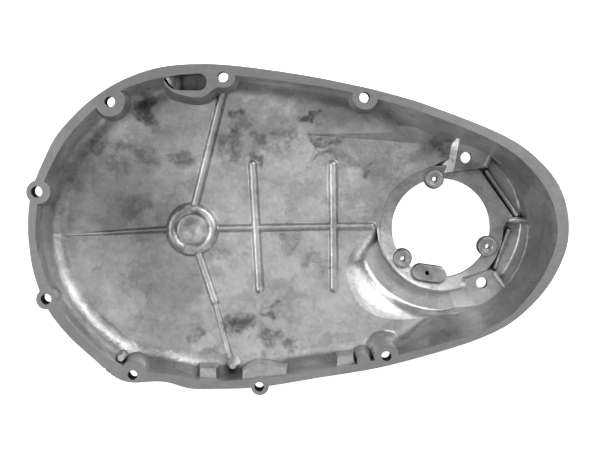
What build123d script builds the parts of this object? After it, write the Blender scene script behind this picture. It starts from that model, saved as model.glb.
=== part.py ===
from build123d import *
import math
import os

os.makedirs("parts", exist_ok=True)

# ---------------------------------------------------------------------------
# Primary chaincase cover, one aluminium casting.  It lies on its outer face,
# with the gasket flange up.  +X runs to the alternator end, +Z out of the
# open side.  Millimetres.
# ---------------------------------------------------------------------------

# heights above the outer face of the alternator boss
FLANGE_Z = 47.0          # gasket face
FLOOR_Z = 14.0           # inner floor on the clutch side
OUTER_Z = 9.5            # outer face on the clutch side
WALL_FOOT = 20.0         # reach of the wall's hollow foot into the floor, at the clutch end
MID_FOOT = 14.0          # and along the middle
BOWL_Z = 5.5             # bottom of the round recess behind the alternator
PAD_Z = 13.6             # stud pads
LUG_Z = 13.4             # inspection plate screw lugs
RING_Z = 17.8            # ring boss on the clutch axis

# axes
CRANK = (108.2, 0.3)     # inspection aperture, on the crankshaft axis
CLUTCH = (-79.4, -0.6)   # ring boss, on the clutch axis

# inspection aperture
APERTURE_R = 37.2
PLATE_SEAT_R = 42.5
PLATE_SEAT_DEPTH = 2.5
LAND_R = 46.4
BOWL_R_FLOOR = 65.2      # bowl wall at the height of the clutch floor
LUG_R = 7.0
LUG_HOLE_R = 1.75
LUG_HOLE_PCD_R = 37.3
LUG_ANGLES = (98.2, 218.2, 338.2)

# studs through the alternator end
STUD_D = 8.4
STUD_NUT_D = 19.0
STUDS = ((126.5, 53.3), (138.6, -41.0))

# flange screws: hole centre, hole diameter, column centre, column radius at
# the gasket face, flare of the column's foot
SCREWS = (
    ((-192.5, 28.4), 8.4, (-191.3, 28.2), 8.8, 3.0),
    ((-138.5, 94.5), 7.8, (-138.3, 94.5), 10.8, 1.2),
    ((-55.4, 112.8), 7.8, (-54.8, 113.3), 8.4, 2.5),
    ((48.9, 97.8), 7.8, (49.5, 98.1), 9.3, 1.0),
    ((-185.9, -50.8), 7.8, (-185.7, -50.8), 7.5, 3.5),
    ((-122.3, -107.0), 7.0, (-121.4, -105.6), 9.6, 3.0),
    ((-28.8, -115.7), 7.0, (-28.3, -115.3), 6.6, 2.0),
    ((65.2, -93.2), 7.4, (65.3, -93.6), 9.1, 7.0),
)
HEAD_D = 11.6            # screw head counterbore, from the outer face
HEAD_SEAT_Z = 18.0

# outer edge of the gasket flange, without the screw bosses
OUTER_EDGE = [
    (-199.0, 0.3), (-198.5, 14.6), (-196.2, 28.8), (-191.4, 42.3), (-185.5, 55.4), (-178.9, 68.1),
    (-169.8, 79.3), (-159.9, 89.6), (-148.8, 98.7), (-136.8, 106.6), (-123.9, 112.9), (-110.4, 117.7),
    (-96.3, 120.8), (-82.0, 122.1), (-67.7, 122.4), (-53.3, 121.7), (-39.0, 120.3), (-24.8, 118.5),
    (-10.6, 116.5), (3.6, 114.2), (17.8, 111.7), (31.8, 108.8), (45.9, 105.9), (59.9, 102.6),
    (73.8, 98.9), (87.5, 94.9), (101.1, 90.2), (114.6, 85.2), (128.0, 80.1), (141.3, 74.6),
    (154.3, 68.5), (166.5, 61.0), (177.5, 51.7), (187.1, 41.1), (194.4, 28.7), (198.5, 15.0),
    (199.8, 0.7), (198.0, -13.5), (192.9, -26.8), (185.9, -39.4), (177.1, -50.7), (166.9, -60.9),
    (155.5, -69.7), (142.8, -76.5), (129.5, -81.9), (115.9, -86.5), (102.1, -90.6), (88.3, -94.5),
    (74.4, -98.2), (60.5, -101.5), (46.3, -104.2), (32.1, -106.4), (17.9, -108.6), (3.8, -110.9),
    (-10.4, -113.4), (-24.6, -115.5), (-38.9, -116.8), (-53.2, -117.2), (-67.6, -117.4), (-81.9, -116.6),
    (-95.5, -112.6), (-109.8, -111.9), (-124.1, -112.4), (-137.3, -107.1), (-148.0, -97.6), (-158.7, -88.2),
    (-169.1, -78.3), (-178.4, -67.3), (-186.2, -55.3), (-191.6, -42.0), (-195.7, -28.2), (-197.9, -14.0),
]

# inner edge of the gasket flange, without the screw columns
INNER_EDGE = [
    (-193.4, 1.3), (-192.4, 15.0), (-189.7, 28.5), (-184.7, 41.2), (-178.8, 53.6), (-171.7, 65.4),
    (-163.1, 76.1), (-153.5, 85.9), (-143.0, 94.7), (-131.5, 102.2), (-118.8, 107.4), (-105.6, 111.2),
    (-92.1, 113.7), (-78.5, 115.0), (-64.7, 115.2), (-51.0, 114.4), (-37.4, 113.1), (-23.7, 111.5),
    (-10.1, 109.7), (3.5, 107.7), (17.1, 105.7), (30.6, 103.2), (44.0, 100.4), (57.3, 97.1),
    (70.5, 93.4), (83.7, 89.4), (96.8, 85.1), (109.7, 80.4), (122.4, 75.4), (135.0, 70.0),
    (147.2, 63.9), (158.9, 56.6), (169.2, 47.6), (178.2, 37.2), (185.4, 25.5), (190.1, 12.6),
    (191.8, -0.8), (189.6, -14.2), (184.5, -26.9), (177.7, -38.9), (169.5, -49.9), (160.1, -60.0),
    (149.2, -68.2), (137.1, -74.2), (124.1, -78.8), (110.9, -82.7), (97.7, -86.3), (84.3, -89.7),
    (71.0, -93.0), (57.7, -96.1), (44.3, -98.8), (30.7, -101.1), (17.1, -103.1), (3.5, -105.1),
    (-10.1, -107.2), (-23.7, -108.9), (-37.3, -110.3), (-51.0, -111.3), (-64.7, -111.7), (-78.3, -110.3),
    (-91.4, -107.5), (-105.0, -105.3), (-118.6, -103.5), (-131.5, -99.3), (-143.0, -91.8), (-153.5, -83.0),
    (-163.3, -73.3), (-171.8, -62.6), (-179.3, -51.1), (-185.2, -38.8), (-189.4, -25.7), (-192.4, -12.4),
]

# how far the wall has moved inwards, as a share of its foot's distance,
# against the depth below the gasket face
DRAFTED_WALL = ((-2.0, -0.008), (0.0, 0.0), (8.0, 0.032), (16.0, 0.080), (22.0, 0.160),
                (27.0, 0.320), (30.0, 0.510), (32.0, 0.740), (33.0, 1.0))
BOWL_WALL = ((-2.0, -0.06), (0.0, 0.0), (8.0, 0.22), (16.0, 0.45), (22.0, 0.63),
             (27.0, 0.79), (30.0, 0.89), (32.0, 0.965), (33.0, 1.0))
DRAFTED_SKIN = ((0.0, 0.0), (8.0, 0.012), (16.0, 0.04), (24.0, 0.10), (30.0, 0.20),
                (34.0, 0.38), (36.5, 0.66), (37.5, 1.0))
BOWL_SKIN = ((0.0, 0.0), (8.0, 0.16), (16.0, 0.37), (24.0, 0.60), (30.0, 0.78),
             (34.0, 0.90), (36.5, 0.97), (37.5, 1.0))


def smooth(a, b, v):
    t = min(1.0, max(0.0, (v - a) / (b - a)))
    return t * t * (3 - 2 * t)


def inward(edge, i):
    """Unit vector into the case at station i of a clockwise edge."""
    n = len(edge)
    x0, y0 = edge[(i - 1) % n]
    x1, y1 = edge[(i + 1) % n]
    length = math.hypot(x1 - x0, y1 - y0)
    return (y1 - y0) / length, -(x1 - x0) / length


def bowl_share(x, y):
    """0 on the clutch side, 1 where the wall is part of the round bowl."""
    return smooth(62.0, 106.0, x) if y > 0 else smooth(74.0, 106.0, x)


def wall_sections(edge, foot, middle, bowl_radius, straight, bowl, top_width):
    """Closed station rings, one for each depth."""
    rings = []
    n = len(edge)
    for (depth, share_s), (_, share_b) in zip(straight, bowl):
        ring = []
        for i, (x, y) in enumerate(edge):
            nx, ny = inward(edge, i)
            width = foot + (middle - foot) * smooth(-125.0, -60.0, x)
            if y > 0:
                width += (top_width - width) * smooth(15.0, 62.0, x)
            fx, fy = x + nx * width, y + ny * width
            rx, ry = x - CRANK[0], y - CRANK[1]
            r = math.hypot(rx, ry)
            bx, by = CRANK[0] + rx * bowl_radius / r, CRANK[1] + ry * bowl_radius / r
            k = bowl_share(x, y)
            qx, qy = fx + (bx - fx) * k, fy + (by - fy) * k
            share = share_s + (share_b - share_s) * smooth(0.0, 1.0, k)
            ring.append((x + (qx - x) * share, y + (qy - y) * share))
        rings.append((depth, ring))
    return rings


def ring_curve(ring):
    """Closed curve with one knot at each station, so that all rings match."""
    n = len(ring)
    return Edge.make_spline([(x, y, 0) for x, y in ring], periodic=True,
                            parameters=[i / n for i in range(n + 1)])


# ---------------------------------------------------------------------------
# Outer envelope: the skin of the casting before it is hollowed
# ---------------------------------------------------------------------------
with BuildPart() as envelope:
    for depth, ring in wall_sections(OUTER_EDGE, 15.0, 15.0, 71.0, DRAFTED_SKIN, BOWL_SKIN, 19.0):
        with BuildSketch(Plane.XY.offset(FLANGE_Z - depth)):
            with BuildLine():
                add(ring_curve(ring))
            make_face()
    loft()
    # round boss behind the alternator, with a rolled edge
    with BuildSketch(Plane.XZ.offset(-CRANK[1])):
        with BuildLine():
            Polyline((CRANK[0], 0), (CRANK[0] + 62.0, 0))
            Spline((CRANK[0] + 62.0, 0), (CRANK[0] + 66.4, 1.2), (CRANK[0] + 68.6, 4.4),
                   (CRANK[0] + 70.6, 10.5), tangents=[(1, 0), (0.3, 1)])
            Polyline((CRANK[0] + 70.6, 10.5), (CRANK[0], 10.5), (CRANK[0], 0))
        make_face()
    revolve(axis=Axis((CRANK[0], CRANK[1], 0), (0, 0, 1)), revolution_arc=360)
    # the boss trails off towards the clutch side as a thin wedge
    with BuildSketch(Plane.XY.offset(OUTER_Z + 0.5)):
        Polygon((2.0, 72.0), (112.0, 66.0), (100.0, 0.0), (60.0, -30.0), (40.0, -24.0), align=None)
    with BuildSketch(Plane.XY.offset(4.5)):
        Polygon((62.0, 58.0), (110.0, 58.0), (100.0, 2.0), (72.0, -18.0), (60.0, -12.0), align=None)
    loft()
    # screw bosses that stand outside the flange line
    for index in (0, 4, 6):
        with BuildSketch(Plane.XY.offset(FLANGE_Z)):
            with Locations(SCREWS[index][2]):
                Circle(SCREWS[index][3])
        extrude(amount=-(FLANGE_Z - 15.0), taper=1.0)


# ---------------------------------------------------------------------------
# The hollow: what the envelope loses
# ---------------------------------------------------------------------------
def polar(degrees, radius):
    a = math.radians(degrees)
    return CRANK[0] + radius * math.cos(a), CRANK[1] + radius * math.sin(a)


# recess behind the alternator: angle, then its radius at each height
RECESS_HEIGHTS = (18.0, 14.0, 12.6, 10.6, 8.0, 6.2, 5.5)
RECESS = (
    (62, (63.0, 63.0, 63.0, 63.0, 63.0, 63.0, 62.4)),
    (50, (65.0, 65.2, 65.0, 64.8, 64.4, 64.0, 63.0)),
    (36, (64.6, 65.2, 64.9, 64.4, 63.9, 63.3, 62.2)),
    (22, (64.0, 65.1, 64.6, 63.9, 63.0, 62.2, 61.0)),
    (8, (64.0, 65.0, 64.4, 63.4, 62.3, 61.4, 60.2)),
    (-6, (64.0, 64.9, 64.1, 62.8, 61.3, 60.2, 59.0)),
    (-20, (64.0, 64.8, 63.8, 62.2, 60.4, 59.1, 57.8)),
    (-34, (64.0, 64.8, 63.7, 62.0, 60.1, 58.7, 57.4)),
    (-48, (64.0, 64.8, 63.7, 62.0, 60.2, 58.8, 57.6)),
    (-62, (64.0, 64.8, 63.9, 62.4, 60.8, 59.6, 58.4)),
    (-76, (64.0, 64.9, 64.2, 63.2, 62.0, 61.2, 60.0)),
    (-90, (64.8, 65.2, 64.9, 64.4, 63.8, 63.0, 61.5)),
    (-102, (72.0, 68.8, 67.2, 65.8, 64.4, 63.2, 61.6)),
    (-114, (86.0, 75.5, 71.4, 68.0, 65.2, 63.4, 61.7)),
    (-126, (96.0, 82.0, 75.6, 70.4, 66.4, 63.8, 61.9)),
    (-138, (98.0, 84.5, 77.4, 71.6, 67.0, 64.2, 62.1)),
    (-150, (94.0, 81.5, 75.4, 70.4, 66.2, 63.8, 61.8)),
    (-160, (86.0, 76.0, 71.4, 67.2, 63.6, 61.4, 59.2)),
    (-170, (68.0, 63.0, 58.5, 54.0, 51.0, 49.4, 48.0)),
    (-184, (47.2, 47.0, 46.8, 46.8, 46.8, 46.8, 46.6)),
    (-204, (46.2, 46.2, 46.2, 46.2, 46.2, 46.2, 46.0)),
    (-226, (46.2, 46.2, 46.2, 46.2, 46.2, 46.2, 46.0)),
    (-246, (46.2, 46.2, 46.2, 46.2, 46.2, 46.2, 46.0)),
    (-264, (47.6, 47.6, 47.6, 47.6, 47.6, 47.6, 47.0)),
    (-280, (54.0, 54.0, 54.0, 54.0, 54.0, 54.0, 53.0)),
)

# the tongue: a flat floor that falls away towards the alternator, below the
# clutch floor; its upper edge is the straight crease
TONGUE_HINGE_A = (-0.6, 71.0)
TONGUE_HINGE_B = (43.0, -25.0)
TONGUE_FALL = 2.0        # degrees


def column(centre, radius, draft, flare):
    """Column up to the gasket face: drafted, with a flared foot."""
    cx, cy = centre
    mid = radius + draft * 22.0 / 33.0
    foot = radius + draft + flare
    with BuildPart() as post:
        with BuildSketch(Plane((cx, cy, 0), x_dir=(1, 0, 0), z_dir=(0, -1, 0))):
            with BuildLine():
                Polyline((0, 52), (radius, 52), (radius, FLANGE_Z), (mid, FLOOR_Z + 11.0))
                Spline((mid, FLOOR_Z + 11.0), (mid + 0.9 + flare * 0.22, FLOOR_Z + 4.0), (foot, FLOOR_Z - 0.5),
                       tangents=[(draft / 33.0, -1), (1, -0.3)])
                Polyline((foot, FLOOR_Z - 0.5), (foot, 4.0), (0, 4.0), (0, 52))
            make_face()
        revolve(axis=Axis((cx, cy, 0), (0, 0, 1)), revolution_arc=360)
    return post.part


def rib_outline(root, crown, height):
    """Half section of a rib: hollow foot, rounded crown."""
    Polyline((0, height), (0, -1.2), (root, -1.2), (root, -0.1))
    Spline((root, -0.1), (crown + (root - crown) * 0.5, height * 0.47), (crown, height * 0.95), (0, height),
           tangents=[(-1, 0.06), (-1, 0)])


def bar(a, b, width, top_width, height, base=FLOOR_Z, tip=1.0):
    """Soft rib from a to b with round ends; at a its section is scaled by tip."""
    along = (b[0] - a[0], b[1] - a[1], 0)
    across = (-along[1], along[0], 0)
    with BuildPart() as rib:
        with BuildSketch(Plane(origin=(a[0], a[1], base), x_dir=across, z_dir=along)):
            with BuildLine():
                rib_outline(tip * width / 2, tip * top_width / 2, tip * height)
            make_face()
            mirror(about=Plane.YZ)
        if tip == 1.0:
            extrude(amount=math.dist(a, b))
        else:
            with BuildSketch(Plane(origin=(b[0], b[1], base), x_dir=across, z_dir=along)):
                with BuildLine():
                    rib_outline(width / 2, top_width / 2, height)
                make_face()
                mirror(about=Plane.YZ)
            loft(ruled=True)
        for (x, y), k, turn in ((a, tip, 1), (b, 1.0, -1)):
            with BuildSketch(Plane(origin=(x, y, base), x_dir=across, z_dir=along)):
                with BuildLine():
                    rib_outline(k * width / 2, k * top_width / 2, k * height)
                make_face()
            revolve(axis=Axis((x, y, 0), (0, 0, turn)), revolution_arc=180)
    return rib.part


def lug(angle):
    """Screw lug in the aperture: drafted side, chamfered top, spot ring round the hole."""
    x, y = polar(angle, LUG_HOLE_PCD_R)
    with BuildPart() as boss:
        with BuildSketch(Plane((x, y, 0), x_dir=(1, 0, 0), z_dir=(0, -1, 0))):
            with BuildLine():
                Polyline((0, PLATE_SEAT_DEPTH), (LUG_R + 0.7, PLATE_SEAT_DEPTH), (LUG_R, LUG_Z - 0.8),
                         (LUG_R - 0.8, LUG_Z), (4.3, LUG_Z), (4.0, LUG_Z - 0.35), (2.7, LUG_Z - 0.35),
                         (LUG_HOLE_R, LUG_Z - 1.3), (0, LUG_Z - 1.3), (0, PLATE_SEAT_DEPTH))
            make_face()
        revolve(axis=Axis((x, y, 0), (0, 0, 1)), revolution_arc=360)
    return boss.part


# frame of the tongue: x square to the crease, z along it
_hx, _hy = TONGUE_HINGE_B[0] - TONGUE_HINGE_A[0], TONGUE_HINGE_B[1] - TONGUE_HINGE_A[1]
_hl = math.hypot(_hx, _hy)
FALL = (-_hy / _hl, _hx / _hl)
SLOPE = math.tan(math.radians(TONGUE_FALL))
TONGUE_NORMAL = Vector(FALL[0] * SLOPE, FALL[1] * SLOPE, 1).normalized()
CREASE_END = (113.6, 62.5)


def tongue_z(x, y):
    along = (x - TONGUE_HINGE_A[0]) * FALL[0] + (y - TONGUE_HINGE_A[1]) * FALL[1]
    return FLOOR_Z - SLOPE * along


CREASE = Vector(CREASE_END[0] - TONGUE_HINGE_A[0], CREASE_END[1] - TONGUE_HINGE_A[1],
                tongue_z(*CREASE_END) - FLOOR_Z)
CREASE_PLANE = Plane((TONGUE_HINGE_A[0], TONGUE_HINGE_A[1], FLOOR_Z),
                     x_dir=TONGUE_NORMAL.cross(CREASE), z_dir=CREASE)
CRANK_ON_TONGUE = Plane((CRANK[0], CRANK[1], tongue_z(*CRANK)), x_dir=(1, 0, -FALL[0] * SLOPE),
                        z_dir=TONGUE_NORMAL)

# what stands inside the hollow -------------------------------------------------
with BuildPart() as land:
    # raised land round the aperture: round on the left, two straight edges on the right
    with BuildSketch(Plane.XY.offset(2.0)):
        with Locations(CRANK):
            Circle(LAND_R + 1.2)
        Polygon((108.2, 46.5), (130.0, 46.0), (137.6, 44.6), (139.8, 41.0), (162.8, 9.2), (156.8, 2.4),
                (154.6, -1.4), (145.2, -29.0), (140.0, -38.0), (108.2, -47.0), align=None)
    extrude(amount=14.0, taper=5.0)
    # its dished top follows the tongue
    with BuildSketch(Plane(CRANK_ON_TONGUE.origin, x_dir=CRANK_ON_TONGUE.x_dir,
                           z_dir=-CRANK_ON_TONGUE.y_dir)):
        Polygon((0, -2.2), (APERTURE_R + 0.6, -2.2), (LAND_R - 0.3, -0.6), (80, -0.6), (80, 20), (0, 20), align=None)
    revolve(axis=Axis(CRANK_ON_TONGUE.origin, TONGUE_NORMAL), revolution_arc=360, mode=Mode.SUBTRACT)

BEAD_FROM, BEAD_TO = 96.0, 300.0
BEAD_START = CRANK_ON_TONGUE.rotated((0, 0, BEAD_FROM))

with BuildPart() as bead:
    # low bead round the left and the foot of the land
    with BuildSketch(Plane(BEAD_START.origin, x_dir=BEAD_START.x_dir, z_dir=-BEAD_START.y_dir)):
        with BuildLine():
            Polyline((LAND_R + 2.3, -0.1), (LAND_R + 2.3, -3.0), (LAND_R - 1.0, -3.0), (LAND_R - 1.0, -0.6))
            Spline((LAND_R - 1.0, -0.6), (LAND_R + 0.1, 0.75), (LAND_R + 1.0, 0.8), (LAND_R + 2.3, -0.1))
        make_face()
    revolve(axis=Axis(CRANK_ON_TONGUE.origin, TONGUE_NORMAL), revolution_arc=BEAD_TO - BEAD_FROM)

# columns and ribs
columns = [column(centre, radius, 2.6, flare) for _, _, centre, radius, flare in SCREWS]
columns.append(column((48.7, -97.4), 4.8, 4.0, 3.0))     # half-round stub beside the last column
ribs = [
    # on the floor
    bar((-184.0, -5.4), (-97.5, -0.6), 7.0, 1.6, 2.0, tip=0.35),
    bar((-60.0, 0.1), (55.6, 2.0), 7.0, 1.8, 2.0),
    bar((-34.0, 48.2), (-28.8, -45.6), 8.4, 2.6, 2.3),
    bar((26.3, 48.0), (27.2, -44.8), 8.4, 3.0, 2.4),
    bar((-54.7, 107.6), (-77.2, 18.0), 8.4, 2.8, 2.6),
    bar((-74.4, -19.0), (-62.4, -55.0), 8.2, 2.4, 2.3),
    bar((-62.8, -54.0), (-51.2, -97.0), 6.4, 1.6, 1.8),
    # thin ridges along the straight edges of the land
    bar((142.6, 43.0), (165.0, 9.6), 6.4, 1.0, 5.4, base=BOWL_Z),
    bar((159.0, -1.6), (149.0, -29.6), 6.4, 1.0, 5.4, base=BOWL_Z),
    # stub rib where they meet
    bar((160.0, 6.4), (179.5, 4.9), 7.6, 2.0, 10.3, base=BOWL_Z - 0.8),
    # lips along the right edges of the stud pads
    bar((145.3, 56.6), (141.4, 47.6), 4.2, 0.9, 1.9, base=PAD_Z - 0.5),
    bar((147.6, -34.6), (154.8, -44.0), 4.2, 0.9, 1.9, base=PAD_Z - 0.5),
]
lugs = [lug(angle) for angle in LUG_ANGLES]

with BuildPart() as pointer_pad:
    with BuildSketch(Plane.XY.offset(PLATE_SEAT_DEPTH)):
        with Locations(Location((99.2, -33.8, 0), (0, 0, -8))):
            SlotOverall(26.4, 12.6)
    extrude(amount=14.2 - PLATE_SEAT_DEPTH, taper=0.8)
    fillet(pointer_pad.faces().sort_by(Axis.Z)[-1].edges(), 1.0)

with BuildPart() as standing:
    add(bead.part)
    for piece in columns:
        add(piece)
    # small posts, ledges and lumps on the lower wall
    for (x, y), radius, top, draft in (((-48.6, -101.6), 2.4, 33.0, -10.0), ((-131.4, -95.0), 2.4, 41.0, -5.0)):
        with BuildSketch(Plane.XY.offset(top)):
            with Locations((x, y)):
                Circle(radius)
        extrude(amount=-(top - 12.0), taper=draft)
    with BuildSketch(Plane.XY.offset(43.2)):
        Polygon((-41.0, -104.6), (-36.2, -101.4), (-30.0, -99.2), (-23.7, -99.7), (-17.1, -101.0), (-8.6, -101.9),
                (-9.0, -112.0), (-41.0, -112.0), align=None)
    extrude(amount=-30.0, taper=-3.0)
    with BuildSketch(Plane.XY.offset(41.0)):
        Polygon((29.6, -94.4), (40.6, -93.2), (43.0, -104.0), (28.0, -106.0), align=None)
    extrude(amount=-28.0, taper=-4.0)
    with BuildSketch(Plane.XY.offset(35.0)):
        Polygon((-72.6, -103.0), (-61.4, -103.0), (-60.6, -112.0), (-73.4, -112.0), align=None)
    extrude(amount=-22.0, taper=-6.0)
    # wall of the top pocket, at the height of the gasket face; its foot is drafted
    for height, out in ((52.0, 0.0), (FLANGE_Z, 0.0), (FLOOR_Z + 6.0, 3.0), (FLOOR_Z - 1.0, 5.5)):
        with BuildSketch(Plane.XY.offset(height)):
            with BuildLine():
                Polyline((-48.0, 109.0), (-48.0, 125.0), (-100.5 - out, 125.0), (-99.2 - out, 111.4))
                Spline((-99.2 - out, 111.4), (-96.6 - out * 0.8, 105.6 - out * 0.5), (-92.6 - out * 0.3, 101.9 - out),
                       (-85.0, 99.3 - out), (-77.6, 97.9 - out), (-70.6, 98.3 - out),
                       (-66.0 + out * 0.4, 100.6 - out), (-62.6 + out * 0.3, 103.4 - out), (-56.0, 106.2 - out),
                       (-48.0, 109.0))
            make_face()
    loft()
    # stud pads: a long slope on the left flank, steep elsewhere
    for low, high in (
        (((104.6, 78.0), (153.5, 74.0), (148.6, 55.8), (144.4, 44.4), (124.4, 41.4), (100.0, 40.0), (101.6, 52.0)),
         ((122.8, 76.0), (152.0, 72.0), (146.2, 56.6), (142.3, 46.6), (124.0, 43.8), (116.6, 42.8), (119.0, 52.0))),
        (((109.0, -45.0), (118.0, -72.0), (163.6, -60.0), (163.0, -48.6), (158.0, -43.4), (150.2, -31.8),
          (146.6, -28.4), (118.0, -35.0)),
         ((126.3, -43.2), (136.6, -61.0), (161.0, -56.0), (160.6, -49.2), (156.0, -44.8), (148.2, -33.6),
          (145.2, -31.4), (127.6, -38.2))),
    ):
        with BuildSketch(Plane.XY.offset(3.0)):
            Polygon(*low, align=None)
        with BuildSketch(Plane.XY.offset(PAD_Z)):
            Polygon(*high, align=None)
        loft(ruled=True)
    for piece in ribs:
        add(piece)
    # ring boss on the clutch axis
    with BuildSketch(Plane.XZ.offset(-CLUTCH[1])):
        with BuildLine():
            Polyline((CLUTCH[0], 12.0), (CLUTCH[0] + 21.4, 12.0), (CLUTCH[0] + 21.4, 13.4))
            Spline((CLUTCH[0] + 21.4, 13.4), (CLUTCH[0] + 19.4, 15.3), (CLUTCH[0] + 16.0, RING_Z),
                   (CLUTCH[0] + 12.7, 16.9), (CLUTCH[0] + 11.3, 15.2), tangents=[(-1, 0.35), (-0.35, -1)])
            Spline((CLUTCH[0] + 11.3, 15.2), (CLUTCH[0] + 9.2, 15.5), (CLUTCH[0] + 4.6, 14.7), (CLUTCH[0], 14.4),
                   tangents=[(-1, 0.5), (-1, 0)])
            Line((CLUTCH[0], 14.4), (CLUTCH[0], 12.0))
        make_face()
    revolve(axis=Axis((CLUTCH[0], CLUTCH[1], 0), (0, 0, 1)), revolution_arc=360)
    # notches across the ring, at its foot and its head
    with BuildSketch(Plane.XY.offset(16.3)):
        with Locations(Location((CLUTCH[0] - 2.0, CLUTCH[1] - 16.4, 0), (0, 0, -6))):
            Rectangle(9.0, 9.5)
        with Locations(Location((CLUTCH[0] - 2.6, CLUTCH[1] + 15.4, 0), (0, 0, 8))):
            Rectangle(4.2, 9.0)
    extrude(amount=6.0, taper=-8.0, mode=Mode.SUBTRACT)

with BuildPart() as hollow:
    for depth, ring in wall_sections(INNER_EDGE, WALL_FOOT, MID_FOOT, BOWL_R_FLOOR, DRAFTED_WALL, BOWL_WALL, 21.0):
        with BuildSketch(Plane.XY.offset(FLANGE_Z - depth)):
            with BuildLine():
                add(ring_curve(ring))
            make_face()
    loft()
    for k, height in enumerate(RECESS_HEIGHTS):
        ring = [polar(angle, radii[k]) for angle, radii in RECESS]
        with BuildSketch(Plane.XY.offset(height)):
            with BuildLine():
                add(ring_curve(ring))
            make_face()
    loft()
    # the tongue, with a crest that rolls down to the crease
    with BuildSketch(CREASE_PLANE):
        with BuildLine():
            Polyline((0, 0), (0.2, 0.15))
            Spline((0.2, 0.15), (3.0, 1.1), (6.6, 2.4), (12.0, 4.6), tangents=[(1, 0.34), (1, 0.42)])
            Polyline((12.0, 4.6), (12.0, 12.0), (-90.0, 12.0), (-90.0, 0), (0, 0))
        make_face()
    extrude(amount=CREASE.length + 8.0)
    add(land.part, mode=Mode.SUBTRACT)
    add(standing.part, mode=Mode.SUBTRACT)
print("hollow", hollow.part.volume, hollow.part.is_valid)

# pocket behind the top flange: a slot whose left end is a scoop
with BuildPart() as pocket:
    with BuildSketch(Plane.XY.offset(14.6)):
        with BuildLine():
            Polyline((-95.6, 106.4), (-99.0, 110.8), (-98.4, 112.3), (-88.0, 114.3), (-73.4, 115.3))
            ThreePointArc((-73.4, 115.3), (-67.2, 109.1), (-73.4, 102.9))
            Polyline((-73.4, 102.9), (-88.0, 103.0), (-92.6, 104.0), (-95.6, 106.4))
        make_face()
    extrude(amount=40.0)
    with BuildSketch(Plane.XZ.offset(-95.0)):
        with BuildLine():
            Polyline((-86.6, 14.0), (-86.6, 18.0))
            Spline((-86.6, 18.0), (-87.4, 30.0), (-90.0, 39.4), (-94.0, 43.8), (-101.0, 45.6))
            Polyline((-101.0, 45.6), (-101.0, 14.0), (-86.6, 14.0))
        make_face()
    extrude(amount=-25.0, mode=Mode.SUBTRACT)
    # narrow groove between the scoop and the wall
    with BuildSketch(Plane.XY.offset(34.0)):
        Polygon((-99.0, 110.8), (-98.4, 112.3), (-97.3, 111.6), (-94.4, 107.3), (-91.9, 105.2), (-92.6, 104.0),
                (-95.6, 106.4), align=None)
    extrude(amount=20.6)

# ---------------------------------------------------------------------------
# The casting
# ---------------------------------------------------------------------------
with BuildPart() as primary_cover:
    add(envelope.part)
    add(hollow.part, mode=Mode.SUBTRACT)
    # inspection aperture and the seat of its plate
    with Locations((CRANK[0], CRANK[1], 0)):
        Cylinder(APERTURE_R, 60, mode=Mode.SUBTRACT)
        Cylinder(PLATE_SEAT_R, 2 * PLATE_SEAT_DEPTH, mode=Mode.SUBTRACT)
    # screw lugs and pointer pad, standing into the aperture
    for piece in lugs:
        add(piece)
    add(pointer_pad.part)
    with BuildSketch(Plane.XY.offset(-1)):
        with Locations(*[polar(angle, LUG_HOLE_PCD_R) for angle in LUG_ANGLES]):
            Circle(LUG_HOLE_R)
    extrude(amount=30.0, mode=Mode.SUBTRACT)
    # blind hole in the pointer pad
    with BuildSketch(Plane.XY.offset(5.5)):
        with Locations((97.3, -33.5)):
            Circle(1.6)
    extrude(amount=20.0, mode=Mode.SUBTRACT)
    # flange screw holes, with head seats let in from the outer side
    for (x, y), diameter, _, _, _ in SCREWS:
        with Locations((x, y, 0)):
            Cylinder(diameter / 2, 120, mode=Mode.SUBTRACT)
            Cylinder(HEAD_D / 2, 2 * HEAD_SEAT_Z, mode=Mode.SUBTRACT)
    # stud holes through the pads, with spot faces for the dome nuts
    for x, y in STUDS:
        with Locations((x, y, 0)):
            Cylinder(STUD_D / 2, 120, mode=Mode.SUBTRACT)
            Cylinder(STUD_NUT_D / 2, 5.0, mode=Mode.SUBTRACT)
    add(pocket.part, mode=Mode.SUBTRACT)
    # ragged break in the edge by the lower left screw
    for (x, y), radius, turn in (((-139.6, -106.0), 1.5, 10), ((-136.2, -108.6), 1.2, 40), ((-142.9, -102.6), 1.1, 75)):
        with BuildSketch(Plane.XY.offset(38.0)):
            with Locations(Location((x, y, 0), (0, 0, turn))):
                RegularPolygon(radius, 3)
        extrude(amount=12.0, mode=Mode.SUBTRACT)
print("cover", primary_cover.part.volume, primary_cover.part.is_valid, len(primary_cover.part.solids()))
primary_cover.part.label = "primary_cover"
export_step(primary_cover.part, "parts/primary_cover.step")
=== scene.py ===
import math
import bpy
from mathutils import Vector, Matrix

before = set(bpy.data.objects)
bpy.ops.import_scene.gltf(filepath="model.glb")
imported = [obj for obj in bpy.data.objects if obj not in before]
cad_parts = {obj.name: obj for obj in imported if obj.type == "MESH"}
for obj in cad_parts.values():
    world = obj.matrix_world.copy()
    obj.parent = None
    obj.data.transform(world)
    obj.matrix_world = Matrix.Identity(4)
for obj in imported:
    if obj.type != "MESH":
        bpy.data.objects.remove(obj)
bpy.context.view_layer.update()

scene = bpy.context.scene
MM = 0.001

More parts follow.
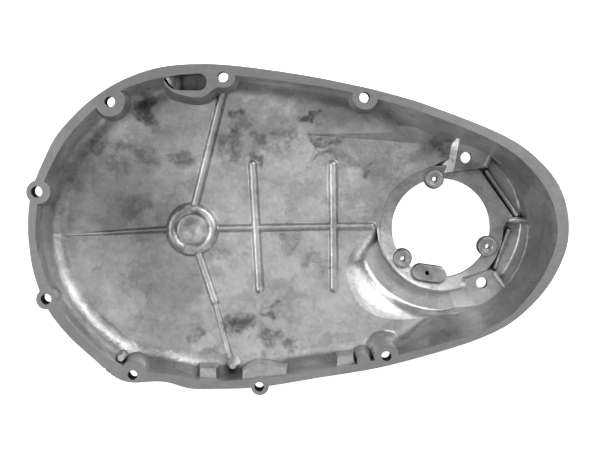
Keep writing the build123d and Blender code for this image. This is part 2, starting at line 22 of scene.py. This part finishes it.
# ---------------------------------------------------------------------------
# Camera: square above the open side, a little off the middle
# ---------------------------------------------------------------------------
cam_data = bpy.data.cameras.new("camera")
cam_data.sensor_width = 36.0
cam_data.sensor_fit = "HORIZONTAL"
cam_data.lens = 130.4
cam_data.clip_start = 0.1
cam_data.clip_end = 20.0
cam = bpy.data.objects.new("camera", cam_data)
scene.collection.objects.link(cam)
look = Vector((0.009204, -0.036815, -1.0)).normalized()
right = look.cross(Vector((0.0, 1.0, 0.0))).normalized()
up = right.cross(look).normalized()
turn = Matrix((right, up, -look)).transposed().to_4x4()
cam.matrix_world = Matrix.Translation(Vector((-13.4, 62.8, 1647.0)) * MM) @ turn
scene.camera = cam


# ---------------------------------------------------------------------------
# Node helpers
# ---------------------------------------------------------------------------
class Nodes:
    def __init__(self, name):
        self.mat = bpy.data.materials.new(name)
        self.mat.use_nodes = True
        self.tree = self.mat.node_tree
        self.tree.nodes.clear()
        self.out = self.tree.nodes.new("ShaderNodeOutputMaterial")
        self.coord = self.tree.nodes.new("ShaderNodeTexCoord").outputs["Object"]

    def put(self, socket, value):
        if isinstance(value, bpy.types.NodeSocket):
            self.tree.links.new(value, socket)
        elif value is not None:
            socket.default_value = value

    def math(self, op, a, b=None, c=None, clamp=False):
        n = self.tree.nodes.new("ShaderNodeMath")
        n.operation = op
        n.use_clamp = clamp
        for s, v in zip(n.inputs, (a, b, c)):
            self.put(s, v)
        return n.outputs[0]

    def vmath(self, op, a, b=None, scale=None):
        n = self.tree.nodes.new("ShaderNodeVectorMath")
        n.operation = op
        self.put(n.inputs[0], a)
        if b is not None:
            self.put(n.inputs[1], b)
        if scale is not None:
            self.put(n.inputs["Scale"], scale)
        return n.outputs["Value" if op in ("LENGTH", "DISTANCE", "DOT_PRODUCT") else "Vector"]

    def split(self, v):
        n = self.tree.nodes.new("ShaderNodeSeparateXYZ")
        self.put(n.inputs[0], v)
        return n.outputs

    def ramp(self, v, lo, hi, a=0.0, b=1.0, smooth=True):
        n = self.tree.nodes.new("ShaderNodeMapRange")
        n.interpolation_type = "SMOOTHSTEP" if smooth else "LINEAR"
        n.clamp = True
        for s, x in zip((n.inputs["Value"], n.inputs["From Min"], n.inputs["From Max"], n.inputs["To Min"],
                         n.inputs["To Max"]), (v, lo, hi, a, b)):
            self.put(s, x)
        return n.outputs["Result"]

    def noise(self, scale, detail=3.0, rough=0.5, seed=0.0, distort=0.0, vec=None, dims="4D"):
        n = self.tree.nodes.new("ShaderNodeTexNoise")
        n.noise_dimensions = dims
        self.put(n.inputs["Vector"], vec if vec is not None else self.coord)
        if dims == "4D":
            self.put(n.inputs["W"], seed)
        self.put(n.inputs["Scale"], scale)
        self.put(n.inputs["Detail"], detail)
        self.put(n.inputs["Roughness"], rough)
        self.put(n.inputs["Distortion"], distort)
        return n.outputs["Fac"]

    def stretch(self, sx, sy, sz, angle=0.0):
        n = self.tree.nodes.new("ShaderNodeMapping")
        self.put(n.inputs["Vector"], self.coord)
        n.inputs["Rotation"].default_value = (0.0, 0.0, angle)
        n.inputs["Scale"].default_value = (sx, sy, sz)
        return n.outputs[0]

    def voronoi(self, scale, seed=0.0, feature="F1", vec=None):
        n = self.tree.nodes.new("ShaderNodeTexVoronoi")
        n.voronoi_dimensions = "4D"
        n.feature = feature
        self.put(n.inputs["Vector"], vec if vec is not None else self.coord)
        self.put(n.inputs["W"], seed)
        self.put(n.inputs["Scale"], scale)
        return n.outputs["Distance"]

    def mix(self, f, a, b):
        """a to b, for numbers."""
        n = self.tree.nodes.new("ShaderNodeMix")
        n.data_type = "FLOAT"
        n.clamp_factor = True
        self.put(n.inputs[0], f)
        self.put(n.inputs[2], a)
        self.put(n.inputs[3], b)
        return n.outputs[0]

    def mix_color(self, f, a, b, mode="MIX"):
        n = self.tree.nodes.new("ShaderNodeMix")
        n.data_type = "RGBA"
        n.blend_type = mode
        n.clamp_factor = True
        self.put(n.inputs[0], f)
        self.put(n.inputs[6], a)
        self.put(n.inputs[7], b)
        return n.outputs[2]

    def blob(self, x, y, rx, ry, angle=0.0, soft=1.0, warp=None):
        """1 at a place on the floor, falling to 0 over an ellipse; millimetres."""
        p = self.vmath("SUBTRACT", warp if warp is not None else self.coord, (x * MM, y * MM, 0.0))
        n = self.tree.nodes.new("ShaderNodeVectorRotate")
        n.rotation_type = "Z_AXIS"
        self.put(n.inputs["Vector"], p)
        n.inputs["Angle"].default_value = -angle
        q = self.vmath("MULTIPLY", n.outputs[0], (1.0 / (rx * MM), 1.0 / (ry * MM), 0.0))
        d = self.vmath("LENGTH", q)
        return self.ramp(d, 1.0 - min(soft, 0.999), 1.0 + soft * 0.4, 1.0, 0.0)

    def occlusion(self, distance, samples=6):
        """1 in the open, 0 deep in a corner."""
        n = self.tree.nodes.new("ShaderNodeAmbientOcclusion")
        n.samples = samples
        n.only_local = True
        n.inputs["Distance"].default_value = distance * MM
        return n.outputs["AO"]

    def dim(self, value, share, amount):
        """Value, lowered by amount where share is 1."""
        return self.math("MULTIPLY", value, self.math("SUBTRACT", 1.0, self.math("MULTIPLY", share, amount)))


def casting():
    k = Nodes("cast_aluminium")
    x, y, z = k.split(k.coord)
    normal = k.tree.nodes.new("ShaderNodeNewGeometry").outputs["Normal"]
    nz = k.split(normal)[2]
    level = k.ramp(nz, 0.985, 0.998)
    rim = k.math("MULTIPLY", k.ramp(z, 46.6 * MM, 46.9 * MM), level)

    bevel = k.tree.nodes.new("ShaderNodeBevel")
    bevel.samples = 4
    k.put(bevel.inputs["Radius"], k.mix(k.ramp(z, 45.5 * MM, 47.2 * MM), 0.6 * MM, 0.3 * MM))
    corner_shade_near = k.occlusion(4.0)
    corner_shade_deep = k.occlusion(16.0)
    # edge mask for a lighter tone on edges: partly worn bare metal, partly painted highlight
    edge_wear_and_glint = k.math("SUBTRACT", 1.0, k.vmath("DOT_PRODUCT", normal, bevel.outputs[0]))
    edge_wear_and_glint = k.math("MULTIPLY", k.ramp(edge_wear_and_glint, 0.015, 0.12), k.ramp(corner_shade_near, 0.80, 0.95))

    # coordinates warped at two scales, so that stains have ragged outlines
    def warped(base, scale, detail, amount):
        n = k.tree.nodes.new("ShaderNodeTexNoise")
        n.inputs["Scale"].default_value = scale
        n.inputs["Detail"].default_value = detail
        n.inputs["Roughness"].default_value = 0.62
        k.put(n.inputs["Vector"], k.coord)
        return k.vmath("ADD", base, k.vmath("SCALE", k.vmath("SUBTRACT", n.outputs["Color"], (0.5, 0.5, 0.5)), scale=amount))

    warp = warped(warped(k.coord, 42.0, 3.0, 0.034), 170.0, 4.0, 0.012)

    # clouds with fairly definite outlines, mottling, flecks and grain
    clouds = k.noise(17.0, 6.0, 0.58, 1.7, 0.6, vec=warp)
    patches = k.noise(38.0, 6.0, 0.64, 8.4, 0.9, vec=warp)
    mottle = k.noise(80.0, 6.0, 0.66, 5.1, 1.0)
    fine = k.noise(330.0, 5.0, 0.66, 9.3)
    grain = k.noise(2600.0, 2.0, 0.5, 3.3)
    flecks = k.noise(620.0, 3.0, 0.6, 4.4)
    sweep = k.noise(52.0, 4.0, 0.6, 2.2, 0.3, vec=k.stretch(0.30, 1.7, 1.0, 0.35))

    value = k.math("ADD", 0.645, k.math("MULTIPLY", k.math("SUBTRACT", fine, 0.5), 0.26))
    value = k.math("ADD", value, k.math("MULTIPLY", k.math("SUBTRACT", mottle, 0.5), 0.34))
    value = k.math("ADD", value, k.math("MULTIPLY", k.math("SUBTRACT", sweep, 0.5), 0.16))
    value = k.dim(value, k.ramp(clouds, 0.58, 0.40), 0.30)
    value = k.dim(value, k.ramp(patches, 0.54, 0.38), 0.20)
    value = k.math("ADD", value, k.math("MULTIPLY", k.ramp(patches, 0.58, 0.76), 0.06))

    # broad darker areas: painted shade where the floor catches less light, mostly on the left and below the upper right
    # wall
    for sx, sy, rx, ry, turned, amount in (
        (-134.0, 20.0, 62, 60, 0.2, 0.60), (-108.0, 70.0, 50, 32, 0.3, 0.18), (-36.0, 72.0, 40, 24, 0.0, 0.16),
        (66.0, 56.0, 52, 24, -0.1, 0.30), (70.0, 24.0, 40, 30, 0.0, 0.14), (58.0, 84.0, 60, 14, -0.2, 0.20),
        (-110.0, -50.0, 54, 30, -0.3, 0.20),
    ):
        value = k.dim(value, k.blob(sx, sy, rx, ry, turned, 0.85, warp), amount)
    # painted shade on the deep flat floor at the alternator end
    deep_floor_shade = k.math("MULTIPLY", k.ramp(z, 16.5 * MM, 15.0 * MM), k.ramp(nz, 0.80, 0.95))
    value = k.dim(value, k.math("MULTIPLY", k.blob(146.0, 4.0, 44, 72, 0.0, 0.85, warp), deep_floor_shade), 0.42)
    value = k.dim(value, k.math("MULTIPLY", k.blob(124.0, 50.0, 42, 22, -0.3, 0.7, warp), deep_floor_shade), 0.25)

    # painted shade on the foot of the wall at the clutch end, dimming its highlight in a mottled pattern
    foot_highlight_shade = k.math("MULTIPLY", k.ramp(nz, 0.70, 0.84), k.ramp(nz, 0.995, 0.97))
    foot_highlight_shade = k.math("MULTIPLY", foot_highlight_shade, k.ramp(x, -90.0 * MM, -120.0 * MM))
    value = k.dim(value, k.math("MULTIPLY", foot_highlight_shade, k.ramp(patches, 0.60, 0.40, 0.55, 1.0)), 0.40)

    # painted light on the upper walls
    upper_wall_light = k.math("MULTIPLY", k.ramp(nz, 0.60, 0.35), k.ramp(y, 30.0 * MM, 80.0 * MM))
    value = k.math("ADD", value, k.math("MULTIPLY", upper_wall_light, 0.18))

    # painted shade on the sides of the upper columns and the pocket
    for sx, sy, rx, ry in ((-134.0, 88.0, 17, 13), (-64.0, 99.0, 38, 12), (52.0, 90.0, 12, 9)):
        column_side_shade = k.math("MULTIPLY", k.blob(sx, sy, rx, ry, 0.0, 0.5), k.ramp(nz, 0.60, 0.35))
        value = k.dim(value, column_side_shade, 0.55)

    # stains, broken up by the mottling
    broken = k.ramp(mottle, 0.60, 0.42, 0.50, 1.0)
    for sx, sy, rx, ry, turned, amount in (
        (-109.6, 85.0, 8, 13, 0.2, 0.62), (-112.0, 96.0, 9, 5, 0.0, 0.45), (-85.0, 51.0, 11, 8, 0.4, 0.40),
        (-118.0, 55.0, 22, 7, -0.5, 0.38), (-146.0, 64.0, 10, 7, 0.3, 0.40), (-138.0, 47.0, 10, 8, 0.3, 0.35),
        (-124.0, 16.0, 14, 12, 0.0, 0.30), (8.0, 80.6, 10, 4.0, 0.3, 0.62), (15.0, 66.0, 9, 4.5, -0.7, 0.60),
        (29.0, 63.4, 10, 4.5, 0.1, 0.50), (-8.0, 71.5, 8, 6, 0.0, 0.45), (21.0, 53.6, 16, 3.0, 0.0, 0.45),
        (50.6, 43.0, 4, 8, 0.1, 0.45), (-42.0, 79.0, 9, 11, -0.5, 0.58), (-52.0, 62.0, 10, 13, 0.3, 0.50),
        (-30.0, 54.0, 6, 5, 0.2, 0.50), (-24.0, 66.0, 14, 9, -0.6, 0.40), (-58.0, -16.0, 12, 6, 0.2, 0.25),
        (-9.6, -11.0, 10, 7, 0.4, 0.35), (14.4, -23.0, 12, 7, 0.0, 0.30), (-44.0, -75.0, 13, 9, 0.9, 0.60),
        (-23.0, -84.0, 11, 12, 0.2, 0.52), (-23.0, -62.0, 6, 5, 0.0, 0.42), (-77.0, -80.0, 8, 10, 0.2, 0.46),
        (-4.0, -86.0, 8, 5, 0.8, 0.45), (-62.0, -96.0, 14, 5, 0.0, 0.35), (106.0, 60.0, 16, 6, -0.2, 0.40),
        (84.0, -2.0, 10, 22, 0.0, 0.20), (132.0, 42.0, 14, 8, -0.3, 0.35), (154.0, -6.0, 10, 16, 0.3, 0.30),
        (100.0, -34.0, 15, 8, -0.1, 0.40),
    ):
        value = k.dim(value, k.math("MULTIPLY", k.blob(sx, sy, rx, ry, turned, 0.6, warp), broken), min(0.72, amount * 1.22))

    # cleaner, lighter places
    for sx, sy, rx, ry, turned, amount in (
        (-35.0, 101.0, 14, 6, 0.0, 0.14), (42.4, 37.0, 9, 11, 0.1, 0.16), (4.0, -28.0, 20, 12, 0.2, 0.08),
        (-96.0, 84.0, 10, 9, 0.2, 0.10), (22.0, -50.0, 26, 20, 0.5, 0.08), (160.0, 6.0, 8, 4, 0.2, 0.16),
        (-16.0, -52.0, 8, 9, 0.4, 0.12), (136.0, -48.0, 9, 6, 0.5, 0.05),
    ):
        value = k.math("ADD", value, k.math("MULTIPLY", k.blob(sx, sy, rx, ry, turned, 0.8, warp), amount))

    # painted highlight on the tip of the long left rib
    rib_tip_highlight = k.blob(-160.0, -4.4, 20, 1.8, 0.03, 0.4, k.coord)
    value = k.math("ADD", value, k.math("MULTIPLY", rib_tip_highlight, 0.24))

    # flecks: dark ones in the stained parts, bright ones anywhere
    soiled = k.ramp(k.noise(26.0, 4.0, 0.6, 12.0), 0.50, 0.64)
    pits = k.ramp(k.voronoi(260.0, 4.0), 0.05, 0.20, 1.0, 0.0)
    pits = k.math("MULTIPLY", pits, soiled)
    value = k.dim(value, pits, 0.45)
    value = k.dim(value, k.math("MULTIPLY", k.ramp(flecks, 0.40, 0.32), soiled), 0.45)
    bright = k.math("MULTIPLY", k.ramp(flecks, 0.64, 0.72), k.ramp(patches, 0.46, 0.58))
    value = k.math("ADD", value, k.math("MULTIPLY", bright, 0.16))

    # machined rim: even, with faint cutter marks and light flecks
    marks = k.noise(900.0, 2.0, 0.5, 6.0, vec=k.stretch(0.06, 1.0, 1.0, 0.7))
    rim_value = k.math("ADD", 0.375, k.math("MULTIPLY", k.math("SUBTRACT", marks, 0.5), 0.10))
    rim_value = k.math("ADD", rim_value, k.math("MULTIPLY", k.math("SUBTRACT", mottle, 0.5), 0.16))
    rim_value = k.math("ADD", rim_value, k.math("MULTIPLY", k.ramp(clouds, 0.50, 0.62), 0.05))
    # painted shade: the rim darker towards the bottom and the top
    rim_value = k.dim(rim_value, k.ramp(y, -10.0 * MM, -80.0 * MM), 0.12)
    rim_value = k.dim(rim_value, k.ramp(y, 50.0 * MM, 100.0 * MM), 0.12)
    value = k.mix(rim, value, rim_value)

    # painted shade in the corners; edges lighter, partly worn bare metal, partly painted highlight
    value = k.math("MULTIPLY", value, k.ramp(corner_shade_near, 0.28, 0.74, 0.50, 1.0))
    value = k.math("MULTIPLY", value, k.ramp(corner_shade_deep, 0.06, 0.46, 0.16, 1.0))
    value = k.math("ADD", value, k.math("MULTIPLY", edge_wear_and_glint, 0.20))
    value = k.math("MAXIMUM", value, 0.02)

    tint = k.tree.nodes.new("ShaderNodeCombineColor")
    k.put(tint.inputs[0], value)
    k.put(tint.inputs[1], k.math("MULTIPLY", value, 1.0))
    k.put(tint.inputs[2], k.math("MULTIPLY", value, 0.995))

    rough = k.math("ADD", k.ramp(nz, 0.80, 0.97, 0.30, 0.40), k.math("MULTIPLY", k.math("SUBTRACT", mottle, 0.5), 0.20))
    rough = k.math("ADD", rough, k.math("MULTIPLY", pits, 0.1))
    rough = k.mix(rim, rough, 0.33)

    height = k.math("ADD", k.math("MULTIPLY", fine, 0.75), k.math("MULTIPLY", grain, 0.25))
    height = k.math("ADD", height, k.math("MULTIPLY", mottle, 1.2))
    height = k.math("SUBTRACT", height, k.math("MULTIPLY", pits, 0.6))
    height = k.math("MULTIPLY", height, k.math("SUBTRACT", 1.0, k.math("MULTIPLY", rim, 0.93)))
    bump = k.tree.nodes.new("ShaderNodeBump")
    bump.inputs["Strength"].default_value = 0.40
    bump.inputs["Distance"].default_value = 0.9 * MM
    k.put(bump.inputs["Height"], height)
    k.put(bump.inputs["Normal"], bevel.outputs[0])

    p = k.tree.nodes.new("ShaderNodeBsdfPrincipled")
    k.put(p.inputs["Base Color"], tint.outputs[0])
    dull = k.math("MULTIPLY", k.ramp(nz, 0.62, 0.34), k.ramp(x, 110.0 * MM, 60.0 * MM))
    dull = k.math("MULTIPLY", dull, k.ramp(y, -40.0 * MM, 20.0 * MM))
    k.put(p.inputs["Metallic"], k.mix(dull, 0.80, 0.56))
    k.put(p.inputs["Roughness"], rough)
    k.put(p.inputs["Normal"], bump.outputs[0])
    k.tree.links.new(p.outputs[0], k.out.inputs["Surface"])
    return k.mat


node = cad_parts["primary_cover"]
node.data.materials.clear()
node.data.materials.append(casting())
node.data.polygons.foreach_set("use_smooth", [True] * len(node.data.polygons))

# ---------------------------------------------------------------------------
# Pale floor
# ---------------------------------------------------------------------------
mesh = bpy.data.meshes.new("floor")
r = 20.0
mesh.from_pydata([(-r, -r, 0), (r, -r, 0), (r, r, 0), (-r, r, 0)], [], [(0, 1, 2, 3)])
floor = bpy.data.objects.new("floor", mesh)
floor.location.z = -0.0002
scene.collection.objects.link(floor)
f = Nodes("floor_white")
fp = f.tree.nodes.new("ShaderNodeBsdfPrincipled")
fn = f.noise(3.0, 2.0, 0.5, 0.0)
fc = f.tree.nodes.new("ShaderNodeCombineColor")
fv = f.math("ADD", 0.93, f.math("MULTIPLY", f.math("SUBTRACT", fn, 0.5), 0.01))
for i in range(3):
    f.put(fc.inputs[i], fv)
f.put(fp.inputs["Base Color"], fc.outputs[0])
fp.inputs["Roughness"].default_value = 0.9
f.put(fp.inputs["Emission Color"], (1.0, 1.0, 1.0, 1.0))
fp.inputs["Emission Strength"].default_value = 0.95
f.tree.links.new(fp.outputs[0], f.out.inputs["Surface"])
mesh.materials.append(f.mat)
floor.visible_glossy = False


# ---------------------------------------------------------------------------
# Soft studio light
# ---------------------------------------------------------------------------
def softbox(name, azimuth, elevation, distance, size, power):
    data = bpy.data.lights.new(name, "AREA")
    data.shape = "RECTANGLE"
    data.size, data.size_y = size
    data.energy = power
    o = bpy.data.objects.new(name, data)
    scene.collection.objects.link(o)
    a, e = math.radians(azimuth), math.radians(elevation)
    o.location = Vector((math.cos(a) * math.cos(e), math.sin(a) * math.cos(e), math.sin(e))) * distance
    o.rotation_euler = (-o.location).to_track_quat("-Z", "Y").to_euler()


softbox("left", 176, 46, 1.6, (1.0, 0.5), 12)
softbox("right", 44, 45, 1.6, (1.1, 0.5), 17)
softbox("overhead", 282, 84.0, 2.4, (1.7, 1.4), 5.5)
softbox("front", 302, 30.0, 1.6, (1.0, 0.5), 3.4)

world = bpy.data.worlds.new("studio")
world.use_nodes = True
world.node_tree.nodes["Background"].inputs["Color"].default_value = (1.0, 1.0, 1.0, 1.0)
world.node_tree.nodes["Background"].inputs["Strength"].default_value = 0.03
scene.world = world

scene.view_settings.view_transform = "Standard"
scene.view_settings.look = "None"
